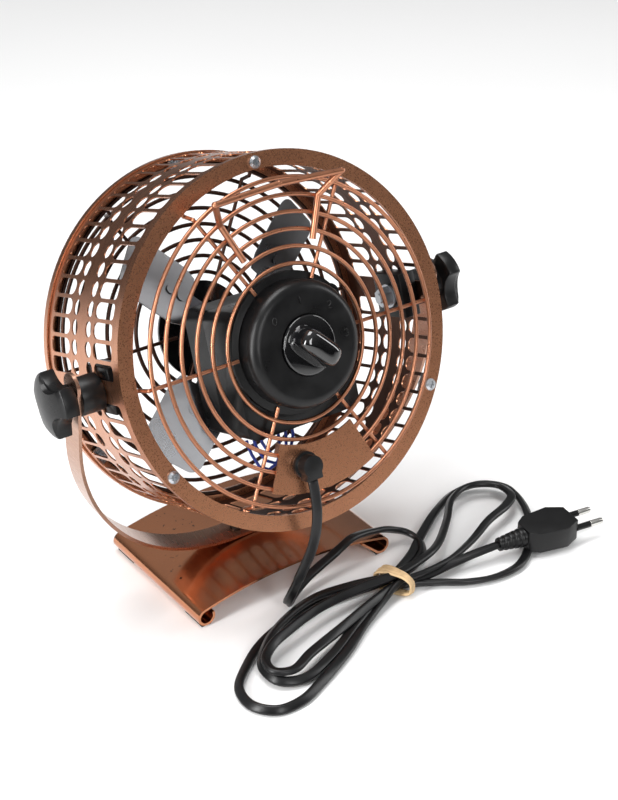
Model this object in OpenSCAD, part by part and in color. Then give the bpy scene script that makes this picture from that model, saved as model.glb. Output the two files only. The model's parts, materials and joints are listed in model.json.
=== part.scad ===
/* [Drum] */
// Outside diameter of the two drum rings
drum_d = 210; // [190:1:225]
// Depth of the drum over its two ring faces
drum_depth = 90; // [80:1:100]
// Thickness of the perforated band
band_t = 0.8; // [0.6:0.1:1.2]
// Width of a ring's flat face
ring_face_w = 9; // [8:0.5:11]
// Width of a ring's lip over the band
ring_lip_w = 4; // [4:0.5:7]
// Sheet thickness of the rings
ring_t = 0.9; // [0.7:0.1:1.2]

/* [Band holes] */
// Number of hole rows around the full circle
row_count = 60; // [40:2:60]
// Height of a hole, measured around the band
hole_h = 8.8; // [6:0.1:9]
// Length of an end hole along the drum
end_hole_len = 22; // [16:0.5:24]
// Distance from the middle of the band to an end hole
end_hole_start = 14; // [14:0.5:16]
// Width of an oval hole along the drum
oval_w = 7.2; // [5:0.1:8]
// Distance from the middle of the band to an oval's centre
oval_y = 8.2; // [7:0.1:9]

/* [Grilles] */
// Diameter of the grille wire
wire_d = 2.4; // [2:0.1:2.6]
// Radius of the innermost rear ring
grille_inner_r = 43.5; // [42:0.5:46]
// Step from one grille ring to the next
grille_step = 9.3; // [9:0.1:9.6]
// How far the grille rings stand out from the ring face
grille_proud = 7.2; // [6:0.1:8]
// Diameter of the carry handle wire
handle_d = 3.6; // [3:0.1:4]

/* [Stand] */
// Height of the tilt pivots over the floor
pivot_h = 152.5; // [150:0.5:165]
// Distance from the middle of the drum back to the pivots
pivot_back = 14; // [10:0.5:16]
// How far the front of the drum leans down at rest
rest_tilt = 19; // [0:1:24]
// How far the yoke leans back
yoke_lean = 5; // [0:0.5:6]
// Distance between the inside faces of the yoke's arms
yoke_gap = 236; // [232:1:244]
// Width of the yoke strip
yoke_w = 15; // [12:0.5:20]
// Thickness of the yoke strip
yoke_t = 2; // [1.5:0.1:2.5]
// Width of the base over its rolled ends
base_w = 136; // [120:1:150]
// Depth of the base
base_depth = 97; // [85:1:110]
// Thickness of the base sheet
sheet_t = 1.5; // [1.2:0.1:2]

/* [Fan and motor] */
// Radius of the fan over its blade tips
fan_r = 83; // [70:1:84]
// Twist of each blade about its own length
blade_pitch = 25; // [15:1:30]
// Width of the motor housing
motor_w = 74; // [70:1:76]
// Diameter of the switch cover behind the motor
cover_d = 70.6; // [68:0.2:71]

/* [Knobs] */
// Diameter of a clamp knob over its lobes
knob_d = 37; // [32:1:40]
// Turn of the left clamp knob, degrees
knob_turn_left = 69; // [0:1:119]
// Turn of the right clamp knob, degrees
knob_turn_right = 101; // [0:1:119]
// Diameter of the speed knob's disc
dial_d = 33; // [30:1:34]

/* [Cord] */
// Width of the flat mains cord
cord_w = 5.4; // [5:0.1:6]
// Sides of the cord's tube
cord_sides = 8; // [8:1:12]

/* [Hidden] */
$fn = 48;
fine_fn = 96;
run_gap = 0.05;
drum_r = drum_d / 2;
half_depth = drum_depth / 2;
band_r = drum_r - ring_t - 0.2;
face_in = half_depth - ring_t;
ring_in_r = drum_r - ring_face_w;
row_pitch = 360 / row_count;
base_mid_y = -2.6;
pivot_y = base_mid_y + 13.3;
screw_r = drum_r - 5;
screw_angles = [90, 210, 330];
hoop_r = ring_in_r + wire_d / 2;
hoop_y = face_in - wire_d / 2;
ring_y = half_depth + grille_proud;
spoke_y = ring_y - wire_d + 0.4;
spoke_in_r = 36.5;
spoke_d = wire_d - 0.2;
top_ring_r = grille_inner_r + 5 * grille_step;
outer_y = ring_y + wire_d / 2;
plate_t = 1;
plate_in_r = 55.5;
plate_out_r = 83;
plate_half_angle = 24.7;
gland_r = 66.8;
gland_angle = 260;
gland_y = outer_y + plate_t;
motor_back_y = 46;
boss_face_y = spoke_y - 0.6;
cover_y = boss_face_y + 0.2;
cover_face_y = half_depth + 19;
motor_top = 25;
motor_low = -47;
seam_y = 20;
shaft_r = 3;
fan_y = -15;
blade_angles = [45, 135, 225, 315];
stud_r = 2.95;
yoke_in = yoke_gap / 2;
yoke_out = yoke_in + yoke_t;
crank_r = 12;
roll_r = 5.6;
roll_mid_r = roll_r - sheet_t / 2;
pad_h = 0.8;
roll_x = base_w / 2 - roll_r;
roll_z = pad_h + roll_r;
arch_half = 14.5;
arch_r = roll_x / sin(arch_half) + roll_mid_r;
arch_z = roll_z - (arch_r - roll_mid_r) * cos(arch_half);
crown_z = arch_z + arch_r + sheet_t / 2;
yoke_reach = (pivot_h - crown_z - 1) / cos(yoke_lean);
yoke_bend_r = 103;
yoke_flat = yoke_out - yoke_bend_r;
yoke_screw_x = 12;
knob_r = knob_d / 2;
knob_x = yoke_out + 0.4;
knob_face_x = knob_x + 10;

// Route of the free cord from the gland to the tied bundle
cord_points = [
    [11.6, 78.3, 97.7], [11.8, 81.6, 88], [12.5, 84, 78], [13.5, 84, 66], [14.5, 81.5, 54],
    [16, 77, 41], [17.5, 72.5, 29], [18.5, 67.5, 17], [17.5, 62, 7.5], [13.5, 57.5, 3.6],
    [7, 53.5, 4.6], [-3, 50.5, 8.5], [-14, 49.6, 13], [-24, 49.4, 17.2], [-31, 49, 20.2],
    [-38, 47.4, 21.6], [-48, 45.3, 20], [-58, 43.7, 17.2], [-67, 42, 14], [-75, 42, 10],
    [-81, 45.5, 6.6], [-82.5, 51, 5.4]];
hank_h = 13;
hank_tie = [-46, 81];
hank_left = [63, 116];
hank_right = [-146, 46];
hank_low = [-112, 103];
plug_at = [-146, 89];
plug_turn = 151;
plug_mid_z = 8;

// Turns a shape made along Z so that it lies along the drum's axis
module along_y() { rotate([-90, 0, 0]) children(); }

// Turns a shape made along Z so that it lies along the tilt axis
module along_x() { rotate([0, 90, 0]) children(); }

// Places the drum's own frame, whose Y axis is the drum's axis, on its pivots
module in_drum() {
    translate([0, pivot_y, pivot_h])
        rotate([rest_tilt, 0, 0])
            translate([0, -pivot_back, 0])
                children();
}

// Points +X outwards at an angle that is counted as seen from behind the fan
module at_angle(a) { rotate([0, a + 180, 0]) children(); }

// Places the yoke's own frame, whose origin is on the tilt axis
module in_yoke() {
    translate([0, pivot_y, pivot_h])
        rotate([-yoke_lean, 0, 0])
            children();
}

// Both sides of the stand, given a shape on the +X side
module both_sides() {
    children();
    mirror([1, 0, 0]) children();
}

module tube(r_out, r_in, h) {
    difference() {
        cylinder(r = r_out, h = h);
        translate([0, 0, -1]) cylinder(r = r_in, h = h + 2);
    }
}

module torus(r, d) {
    rotate([0, 0, 20]) rotate_extrude($fn = fine_fn) translate([r, 0]) circle(d = d, $fn = 24);
}

// A straight wire from one point to another
module wire(a, b, d) {
    v = b - a;
    len = norm(v);
    translate(a)
        rotate([0, acos(v[2] / len), atan2(v[1], v[0])])
            cylinder(d = d, h = len, $fn = 24);
}

module bead(p, d) { translate(p) sphere(d = d, $fn = 24); }

module hex_nut(flats, h, r_in) {
    difference() {
        cylinder(d = flats / cos(30), h = h, $fn = 6);
        translate([0, 0, -1]) cylinder(r = r_in, h = h + 2);
    }
}

// Pan head screw with a cross slot, its head's seat at z = 0
module pan_screw(shank_r, shank_len, head_r, head_h) {
    difference() {
        union() {
            translate([0, 0, -shank_len]) cylinder(r = shank_r, h = shank_len + 0.5);
            cylinder(r = head_r, h = head_h * 0.55);
            translate([0, 0, head_h * 0.5])
                cylinder(r1 = head_r, r2 = head_r * 0.6, h = head_h * 0.5);
        }
        for (a = [0, 90])
            rotate([0, 0, a])
                translate([-head_r * 0.55, -0.35, head_h - 1.2])
                    cube([head_r * 1.1, 0.7, 2]);
    }
}

module ring_section(r, w, t) { translate([r - t / 2, -w / 2]) square([t, w]); }

// A strip bent to an arc in the XZ plane, from one angle to another, up from +X
module bent_strip(r, t, w, from, to) {
    along_y()
        rotate([0, 0, -to])
            rotate_extrude(angle = to - from, $fn = fine_fn)
                ring_section(r, w, t);
}

module base_roll(turn) {
    translate([roll_x, base_mid_y, roll_z])
        bent_strip(roll_mid_r, sheet_t, base_depth, 90 - arch_half - turn, 90 - arch_half);
}

module base_plate() {
    flange_turn = 207;
    flange_angle = 90 - arch_half - flange_turn;
    flange_len = 15;
    color("#b5714f") difference() {
        union() {
            translate([0, base_mid_y, arch_z])
                bent_strip(arch_r, sheet_t, base_depth, 90 - arch_half, 90 + arch_half);
            base_roll(280);
            mirror([1, 0, 0]) {
                base_roll(flange_turn);
                translate([roll_x, base_mid_y, roll_z])
                    rotate([0, -flange_angle, 0])
                        translate([roll_mid_r - sheet_t / 2 + 0.06, -base_depth / 2, -flange_len])
                            cube([sheet_t - 0.12, base_depth, flange_len + 0.4]);
            }
        }
        in_yoke() for (x = [-yoke_screw_x, yoke_screw_x])
            translate([x, 0, -yoke_reach - 8]) cylinder(r = 2.15, h = 12);
    }
}

module foot_pads() {
    color("#2b2724") difference() {
        for (x = [-roll_x, roll_x], y = [-base_depth / 2 + 10, base_depth / 2 - 10])
            translate([x - 3, base_mid_y + y - 9, 0]) cube([6, 18, 1.4]);
        for (x = [-roll_x, roll_x])
            translate([x, base_mid_y - base_depth / 2 - 1, roll_z])
                along_y() cylinder(r = roll_r + 0.02, h = base_depth + 2);
    }
}

module yoke() {
    arm = yoke_reach - yoke_bend_r;
    mid_r = yoke_bend_r - yoke_t / 2;
    color("#b98a72") in_yoke() difference() {
        union() {
            translate([-yoke_flat, -yoke_w / 2, -yoke_reach]) cube([2 * yoke_flat, yoke_w, yoke_t]);
            both_sides() {
                translate([yoke_flat, 0, -arm]) bent_strip(mid_r, yoke_t, yoke_w, -90, 0);
                translate([yoke_in, -yoke_w / 2, -arm]) cube([yoke_t, yoke_w, arm + 8]);
                translate([yoke_in, 0, 8]) along_x() cylinder(d = yoke_w, h = yoke_t);
            }
        }
        translate([-yoke_out - 1, 0, 0]) along_x() cylinder(r = stud_r + 0.2, h = 2 * yoke_out + 2);
        for (x = [-yoke_screw_x, yoke_screw_x])
            translate([x, 0, -yoke_reach - 1]) cylinder(r = 2.15, h = 4);
    }
}

module yoke_screws() {
    color("#4a3a30") in_yoke() for (x = [-yoke_screw_x, yoke_screw_x])
        translate([x, 0, -yoke_reach + yoke_t + 0.02]) pan_screw(2, 9.5, 3.6, 2.4);
}

module yoke_nuts() {
    color("#8f9296") in_yoke() for (x = [-yoke_screw_x, yoke_screw_x])
        translate([x, 0, -yoke_reach - 6.8]) hex_nut(7, 3, 2 + run_gap);
}

// One end hole: square towards the ring, round towards the middle
module end_hole() {
    r = hole_h / 2;
    translate([-r, end_hole_start + r]) square([hole_h, end_hole_len - r]);
    translate([0, end_hole_start + r]) circle(r = r);
}

module oval_hole() {
    r = oval_w / 2;
    rise = hole_h / 2 - r;
    translate([-rise, oval_y - r]) square([2 * rise, oval_w]);
    for (x = [-rise, rise]) translate([x, oval_y]) circle(r = r);
}

module drum_band() {
    color("#b4785a") in_drum() difference() {
        translate([0, -face_in + 0.1, 0])
            along_y() tube(band_r, band_r - band_t, 2 * face_in - 0.2);
        for (i = [1 : row_count - 1])
            if (i != row_count / 2)
                at_angle(i * row_pitch)
                    translate([band_r - 6, 0, 0])
                        along_x() linear_extrude(12) for (s = [0, 1])
                            mirror([0, s]) {
                                end_hole();
                                oval_hole();
                            }
        for (s = [-1, 1])
            translate([s * (band_r - 5), pivot_back, 0])
                along_x() translate([0, 0, -5]) cylinder(r = stud_r + run_gap, h = 10);
    }
}

// The rear ring, seen in the drum's frame; the front one is its mirror image
module drum_ring() {
    difference() {
        along_y() rotate_extrude($fn = fine_fn) {
            translate([ring_in_r, face_in]) square([ring_face_w, ring_t]);
            translate([drum_r - ring_t, half_depth - ring_lip_w]) square([ring_t, ring_lip_w]);
        }
        for (a = screw_angles)
            at_angle(a) translate([screw_r, face_in - 1, 0]) along_y() cylinder(r = 1.6, h = 4);
    }
}

module rear_ring() { color("#a86a4b") in_drum() drum_ring(); }
module front_ring() { color("#a86a4b") in_drum() mirror([0, 1, 0]) drum_ring(); }

module ring_screws() {
    for (a = screw_angles)
        at_angle(a)
            translate([screw_r, half_depth + 0.02, 0]) along_y() pan_screw(1.5, 9, 3.5, 2.3);
}

module rear_ring_screws() { color("#c3c7cb") in_drum() ring_screws(); }
module front_ring_screws() { color("#c3c7cb") in_drum() mirror([0, 1, 0]) ring_screws(); }

// Small plates that clamp the grille's outer hoop against the ring
module ring_clips() {
    for (a = screw_angles)
        at_angle(a) difference() {
            translate([screw_r - 4.4, hoop_y - wire_d / 2 - 1.05, -5]) cube([7, 1, 10]);
            translate([screw_r, hoop_y - 4, 0]) along_y() cylinder(r = 1.6, h = 6);
        }
}

module rear_clips() { color("#9a9da1") in_drum() ring_clips(); }
module front_clips() { color("#9a9da1") in_drum() mirror([0, 1, 0]) ring_clips(); }

module ring_nuts() {
    for (a = screw_angles)
        at_angle(a)
            translate([screw_r, hoop_y - wire_d / 2 - 3.6, 0])
                along_y() rotate([0, 0, 30]) hex_nut(5.4, 2.5, 1.5 + run_gap);
}

module rear_ring_nuts() { color("#c3c7cb") in_drum() ring_nuts(); }
module front_ring_nuts() { color("#c3c7cb") in_drum() mirror([0, 1, 0]) ring_nuts(); }

// Wire grille with its hoop under the ring, its rings outside and its spokes between
module grille(first_ring, spoke_end) {
    along_y() {
        translate([0, 0, hoop_y]) torus(hoop_r, wire_d);
        for (i = [first_ring : 5])
            translate([0, 0, ring_y]) torus(grille_inner_r + i * grille_step, wire_d);
    }
    foot = [hoop_r - 3, hoop_y, 0];
    knee = [top_ring_r + 2, spoke_y, 0];
    for (a = [0 : 60 : 300])
        at_angle(a) {
            wire([hoop_r - 0.3, hoop_y, 0], foot, spoke_d);
            bead(foot, spoke_d + 0.16);
            wire(foot, knee, spoke_d);
            bead(knee, spoke_d + 0.16);
            wire(knee, [spoke_end, spoke_y, 0], spoke_d);
        }
}

module rear_grille() { color("#b9805f") in_drum() grille(0, spoke_in_r); }
module front_grille() { color("#6d4a38") in_drum() mirror([0, 1, 0]) grille(-1, 18); }

module front_badge() {
    color("#2a2726") in_drum() mirror([0, 1, 0])
        translate([0, spoke_y + wire_d / 2 + 0.02, 0]) along_y() {
            cylinder(r = 29, h = 1.6, $fn = fine_fn);
            translate([0, 0, 1.5]) cylinder(r1 = 29, r2 = 26, h = 1.6, $fn = fine_fn);
        }
}

// A point in the drum's frame from a radius, an angle seen from behind, and a depth
function drum_point(r, a, y) = [-r * cos(a), y, r * sin(a)];

module carry_handle() {
    foot_y = outer_y + handle_d / 2 - 0.35;
    bar_y = half_depth + 21;
    bar_r = 95.3;
    for_right = [drum_point(57, 68.5, foot_y), drum_point(81, 68.5, foot_y), drum_point(bar_r, 65, bar_y)];
    for_left = [drum_point(57, 114.5, foot_y), drum_point(81, 114.5, foot_y), drum_point(bar_r, 115, bar_y)];
    bow = [0, bar_y, 88.4];
    path = concat(for_right, [bow], [for_left[2], for_left[1], for_left[0]]);
    color("#c08a68") in_drum() {
        for (i = [0 : len(path) - 2]) wire(path[i], path[i + 1], handle_d);
        for (i = [1 : len(path) - 2]) bead(path[i], handle_d + 0.2);
    }
}

module cord_plate() {
    flange = 4.5;
    color("#b97b57") in_drum() difference() {
        union() {
            translate([0, outer_y + 0.02, 0]) along_y()
                rotate([0, 0, 90 - plate_half_angle])
                    rotate_extrude(angle = 2 * plate_half_angle, $fn = fine_fn)
                        translate([plate_in_r, 0]) square([plate_out_r - plate_in_r, plate_t]);
            at_angle(270 - plate_half_angle)
                translate([plate_in_r, outer_y + plate_t - flange, -0.2])
                    cube([6, flange, plate_t]);
        }
        at_angle(gland_angle)
            translate([gland_r, outer_y - 1, 0]) along_y() cylinder(r = 3.5, h = 4);
    }
}

module cord_gland() {
    color("#1b1b1c") in_drum() at_angle(gland_angle)
        translate([gland_r, gland_y + 0.04, 0]) rotate([0, 270 - gland_angle, 0]) along_y() {
            translate([0, 0, -8]) cylinder(r = 3.3, h = 8.5);
            cylinder(r = 7.6, h = 2.6);
            cylinder(r = 6.2, h = 9.6);
            translate([0, -5, 2]) cube([7.6, 10, 7.2]);
        }
}

module gland_nut() {
    color("#232324") in_drum() at_angle(gland_angle)
        translate([gland_r, gland_y - 7.4, 0]) along_y() hex_nut(12, 3.2, 3.3 + run_gap);
}

// Rounded box from the seam or the front, in the drum's frame
module motor_block(y0, y1, inset) {
    r = 6 - inset;
    x = motor_w / 2 - inset;
    top = motor_top - inset;
    low = motor_low + inset;
    translate([0, y0, 0]) along_y() linear_extrude(y1 - y0) {
        translate([-x + r, -top]) square([2 * (x - r), top - low]);
        translate([-x, -top + r]) square([2 * x, top - low - 2 * r]);
        for (sx = [-1, 1], z = [-top + r, -low - r]) translate([sx * (x - r), z]) circle(r = r);
    }
}

case_corners = [[-31.5, 19.5], [31.5, 19.5], [-31.5, -41.5], [31.5, -41.5]];

module case_bores(r) {
    for (c = case_corners)
        translate([c[0], -1, c[1]]) along_y() cylinder(r = r, h = 40);
}

module motor_front_shell() {
    color("#262627") in_drum() difference() {
        union() {
            difference() {
                motor_block(0, seam_y, 0);
                motor_block(2, seam_y + 1, 2);
            }
            translate([0, -2, 0]) along_y() cylinder(r = 9, h = 10);
            for (c = case_corners)
                translate([c[0], 1, c[1]]) along_y() cylinder(r = 3.6, h = seam_y - 1);
        }
        translate([0, -3, 0]) along_y() cylinder(r = 5 + 0.02, h = 12);
        case_bores(1.6);
    }
}

module motor_rear_shell() {
    color("#202021") in_drum() difference() {
        union() {
            difference() {
                motor_block(seam_y + 0.1, motor_back_y, 0);
                motor_block(seam_y - 1, motor_back_y - 2, 2);
            }
            translate([0, motor_back_y - 0.5, 0])
                along_y() cylinder(r = 39.5, h = boss_face_y - motor_back_y + 0.5, $fn = fine_fn);
            translate([0, motor_back_y - 8, 0]) along_y() cylinder(r = 8, h = 8);
            for (c = case_corners)
                translate([c[0], seam_y + 0.1, c[1]]) along_y() cylinder(r = 3.6, h = 16);
        }
        translate([0, motor_back_y - 9, 0]) along_y() cylinder(r = 5 + 0.02, h = 8);
        case_bores(1.6);
    }
}

module case_screws() {
    color("#9a9da1") in_drum() mirror([0, 1, 0])
        for (c = case_corners)
            translate([c[0], 0.02, c[1]]) along_y() pan_screw(1.55, 28, 3, 1.8);
}

stator_y = 13;
stator_t = 18;
leg_low = -38;

module motor_stator() {
    color("#6f7276") in_drum() difference() {
        translate([-29, stator_y, leg_low]) cube([58, stator_t, 22 - leg_low]);
        translate([0, stator_y - 1, 0]) along_y() cylinder(r = 15.6, h = stator_t + 2);
        translate([-18, stator_y - 1, leg_low + 10]) cube([36, stator_t + 2, 9]);
    }
}

module motor_coil() {
    color("#8c3b22") in_drum() difference() {
        translate([-17, stator_y - 7, leg_low - 6.5]) cube([34, stator_t + 14, 24.5]);
        translate([-18, stator_y - 0.2, leg_low - 0.2]) cube([36, stator_t + 0.4, 10.4]);
    }
}

module front_bush() {
    color("#b08d57") in_drum()
        translate([0, -2, 0]) along_y() tube(5, shaft_r + run_gap, 9);
}

module rear_bush() {
    color("#b08d57") in_drum()
        translate([0, motor_back_y - 8, 0]) along_y() tube(5, shaft_r + run_gap, 6.8);
}

module switch_body() {
    color("#3a3a3c") in_drum() difference() {
        union() {
            translate([0, boss_face_y + 0.05, 0]) along_y() cylinder(r = 13, h = 8);
            translate([-9, boss_face_y + 0.05, -22]) cube([18, 6, 12]);
        }
        translate([0, boss_face_y + 2, 0]) along_y() cylinder(r = 3 + run_gap, h = 10);
    }
}

module switch_cover() {
    r = cover_d / 2;
    shoulder = 6;
    depth = cover_face_y - cover_y;
    wall = 2;
    color("#232325") in_drum() difference() {
        translate([0, cover_y, 0]) along_y() {
            cylinder(r = r, h = depth - shoulder, $fn = fine_fn);
            cylinder(r = r - shoulder, h = depth, $fn = fine_fn);
            translate([0, 0, depth - shoulder]) torus(r - shoulder, 2 * shoulder);
        }
        translate([0, cover_y - 1, 0]) along_y() {
            cylinder(r = r - wall, h = depth - shoulder + 1, $fn = fine_fn);
            cylinder(r = r - shoulder, h = depth - wall - 0.6, $fn = fine_fn);
        }
        translate([0, cover_face_y - 1.5, 0]) along_y() cylinder(r = dial_d / 2 + 0.7, h = 3);
        translate([0, cover_face_y - 8, 0]) along_y() cylinder(r = 3.4, h = 10);
    }
}

module speed_knob() {
    fin_w = 12;
    fin_h = 15;
    disc_y = cover_face_y - 1.2;
    color("#151516") in_drum() {
        translate([0, disc_y, 0]) along_y() cylinder(r = dial_d / 2, h = 3.2);
        translate([0, boss_face_y + 3, 0]) along_y() cylinder(r = 3, h = disc_y - boss_face_y);
        at_angle(135) intersection() {
            translate([-dial_d / 2, disc_y, -fin_w / 2]) cube([dial_d - 3, fin_h + 1.2, fin_w]);
            translate([-1.5, disc_y, 0]) along_y() cylinder(r1 = 15.5, r2 = 11.5, h = fin_h + 1.2);
        }
    }
}

module internal_wires() {
    color("#2b4a9b") in_drum() for (i = [0 : 2]) {
        x = 9 + i * 3.2;
        y = boss_face_y - 5 - i * 2.5;
        drop = i * 3;
        swept_tube([[x, y, motor_low - 0.6], [x, y, -50], [x + 1, y - 0.5, -54 - drop],
            [x + 4, y - 1, -59 - drop], [x + 9, y - 2, -61 - drop], [x + 14, y - 3, -58 - drop],
            [x + 17, y - 3.5, -53 - drop / 2], [x + 18, y - 4, -50], [x + 18, y - 4, motor_low - 0.6]], 0.9);
    }
}

module pivot_bosses() {
    color("#1c1c1d") in_drum() both_sides() translate([band_r + 0.1, pivot_back, 0])
        along_x() tube(10.5, stud_r + run_gap, yoke_in - band_r - 0.3);
}

module pivot_blocks() {
    color("#242425") in_drum() both_sides() difference() {
        translate([band_r - band_t - 12, pivot_back - 13, -13]) cube([11, 26, 26]);
        translate([band_r - band_t - 13, pivot_back, 0])
            along_x() cylinder(r = stud_r + run_gap, h = 14);
    }
}

stud_in = band_r - band_t - 20;

module pivot_studs() {
    color("#b9bdc1") in_drum() both_sides() translate([stud_in, pivot_back, 0])
        along_x() cylinder(r = stud_r, h = knob_face_x - 2 - stud_in);
}

module pivot_washers() {
    color("#c3c7cb") in_drum() both_sides() translate([band_r - band_t - 13.2, pivot_back, 0])
        along_x() tube(7, stud_r + run_gap, 1.1);
}

module pivot_nuts() {
    color("#c3c7cb") in_drum() both_sides() translate([band_r - band_t - 18.3, pivot_back, 0])
        along_x() hex_nut(10, 5, stud_r + run_gap);
}

module motor_shaft() {
    color("#c9ccd0") in_drum() translate([0, fan_y - 11, 0]) along_y()
        cylinder(r = shaft_r, h = motor_back_y - 2.5 - fan_y + 11);
}

module motor_rotor() {
    color("#7d8084") in_drum() translate([0, stator_y - 1, 0])
        along_y() tube(15, shaft_r + 0.02, stator_t + 2);
}

module blade_frame(a) {
    at_angle(a) translate([0, fan_y, 0]) rotate([blade_pitch, 0, 0]) children();
}

rivet_radii = [42, 50];

module fan_spider() {
    color("#8f9296") in_drum() difference() {
        union() {
            translate([0, fan_y - 7, 0]) along_y() cylinder(r = 11, h = 11);
            for (a = blade_angles) blade_frame(a)
                translate([6, -0.75, -6]) cube([50, 1.5, 12]);
        }
        translate([0, fan_y - 12, 0]) along_y() cylinder(r = shaft_r + 0.02, h = 24);
        for (a = blade_angles, r = rivet_radii) blade_frame(a)
            translate([r, -3, 0]) along_y() cylinder(r = 1.6, h = 6);
    }
}

// A flat blade with rounded corners, with holes for its two rivets
module fan_blade(a) {
    root = 36;
    corner = 7;
    half_root = 16;
    half_tip = 19;
    color("#c7c9cc") in_drum() blade_frame(a) translate([0, 0.8, 0]) along_y()
        difference() {
            linear_extrude(0.8) {
                translate([fan_r - corner, -half_tip + corner]) square([corner, 2 * (half_tip - corner)]);
                for (s = [-1, 1]) translate([fan_r - corner, s * (half_tip - corner)]) circle(r = corner);
                polygon([[root, -half_root], [root + 8, -half_tip], [fan_r - corner, -half_tip],
                    [fan_r - corner, half_tip], [root + 8, half_tip], [root, half_root]]);
            }
            for (r = rivet_radii) translate([r, 0, -1]) cylinder(r = 1.6, h = 3);
        }
}

module fan_blade_1() { fan_blade(blade_angles[0]); }
module fan_blade_2() { fan_blade(blade_angles[1]); }
module fan_blade_3() { fan_blade(blade_angles[2]); }
module fan_blade_4() { fan_blade(blade_angles[3]); }

module blade_rivets() {
    color("#d2d4d7") in_drum() for (a = blade_angles, r = rivet_radii) blade_frame(a)
        translate([r, 0, 0]) along_y() {
            translate([0, 0, -1.2]) cylinder(r = 1.5, h = 3.2);
            translate([0, 0, 1.65]) cylinder(r = 2.8, h = 0.9);
            translate([0, 0, -1.7]) cylinder(r = 2.4, h = 0.9);
        }
}

module hub_nut() {
    color("#55585c") in_drum() translate([0, fan_y - 10.6, 0]) along_y() hex_nut(10, 3.4, shaft_r + 0.02);
}

// Three lobed knob on the +X side, with its dome outwards
module clamp_knob(turn) {
    neck_h = 3.6;
    lobed_h = 8.5;
    translate([knob_x, pivot_back, 0]) along_x() difference() {
        union() {
            cylinder(r = 8.6, h = neck_h + 1.5);
            rotate([0, 0, turn]) translate([0, 0, neck_h]) difference() {
                union() {
                    cylinder(r = knob_r, h = lobed_h);
                    translate([0, 0, lobed_h]) intersection() {
                        cylinder(r = knob_r, h = 5);
                        translate([0, 0, 4 - 46]) sphere(r = 46, $fn = fine_fn);
                    }
                }
                for (a = [90, 210, 330])
                    rotate([0, 0, a]) translate([25, 0, -1]) cylinder(r = 14, h = 16);
            }
        }
        translate([0, 0, -1]) cylinder(r = 5 + 0.02, h = 10);
    }
}
module knob_insert() {
    translate([knob_x, pivot_back, 0]) along_x() difference() {
        cylinder(r = 5, h = 8.9);
        translate([0, 0, -1]) cylinder(r = stud_r + run_gap, h = 9.6);
    }
}

module clamp_knob_left() { color("#1a1a1b") in_drum() clamp_knob(knob_turn_left); }
module clamp_knob_right() { color("#1a1a1b") in_drum() mirror([1, 0, 0]) clamp_knob(knob_turn_right); }
module knob_insert_left() { color("#b08d57") in_drum() knob_insert(); }
module knob_insert_right() { color("#b08d57") in_drum() mirror([1, 0, 0]) knob_insert(); }

// Points round a cord's section at one place of its route, square to its way
function way(points, i) =
    let (a = points[max(i - 1, 0)], b = points[min(i + 1, len(points) - 1)]) (b - a) / norm(b - a);
function side(d) = let (s = cross(d, [0.35, 0.93, 0.1])) s / norm(s);
function section(p, d, r) =
    let (u = side(d), v = cross(d, u))
        [for (k = [0 : cord_sides - 1])
            p + r * (cos(k * 360 / cord_sides) * u + sin(k * 360 / cord_sides) * v)];

module swept_tube(points, r) {
    n = cord_sides;
    last = len(points) - 1;
    rings = [for (i = [0 : last]) each section(points[i], way(points, i), r)];
    walls = [for (i = [0 : last - 1], k = [0 : n - 1])
        [i * n + k, i * n + (k + 1) % n, (i + 1) * n + (k + 1) % n, (i + 1) * n + k]];
    ends = [[for (k = [n - 1 : -1 : 0]) k], [for (k = [0 : n - 1]) last * n + k]];
    polyhedron(rings, concat(walls, ends));
}

module cord_lead() { color("#141415") swept_tube(cord_points, cord_w / 2 - 0.3); }

// A tapered bar with round ends from one place to another
module taper(a, ra, b, rb) {
    hull() {
        translate(a) circle(r = ra, $fn = 32);
        translate(b) circle(r = rb, $fn = 32);
    }
}

module cord_hank() {
    color("#161617") linear_extrude(hank_h) {
        taper(hank_tie, 11, hank_left, 22);
        taper(hank_tie, 11, hank_right, 26);
        taper(hank_tie + [-18, 6], 7, hank_low, 8);
    }
}

module cord_tie() {
    wide = 26;
    thick = 1.4;
    color("#cdb083") translate([hank_tie[0], hank_tie[1], 0]) rotate([0, 0, 19])
        translate([-3.5, -wide / 2, 0]) difference() {
            cube([7, wide, hank_h + 0.2 + thick]);
            translate([-1, thick, -1]) cube([9, wide - 2 * thick, hank_h + 1.2]);
        }
}

// The plug's own frame, pins along +X, lying flat on the floor
module in_plug() { translate([plug_at[0], plug_at[1], plug_mid_z]) rotate([0, 0, plug_turn]) children(); }

module plug_body() {
    color("#18181a") in_plug() {
        translate([0, 0, -6.8]) linear_extrude(13.6)
            polygon([[0, -6.5], [6, -11], [24, -13], [34, -8], [34, 8], [24, 13], [6, 11], [0, 6.5]]);
        translate([-18, 0, 0]) along_x() cylinder(r1 = 3.4, r2 = 5.6, h = 18.5);
    }
}

pin_gap = 18.6;

module plug_sleeves() {
    color("#101011") in_plug() for (y = [-pin_gap / 2, pin_gap / 2])
        translate([34, y * 0.72, 0]) along_x() tube(1.95, 1.72, 10);
}

module plug_pins() {
    color("#c9cbce") in_plug() for (y = [-pin_gap / 2, pin_gap / 2])
        translate([34.02, y * 0.72, 0]) along_x() {
            cylinder(r = 1.7, h = 19);
            translate([0, 0, 10.05]) cylinder(r = 2, h = 8.2);
        }
}

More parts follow.
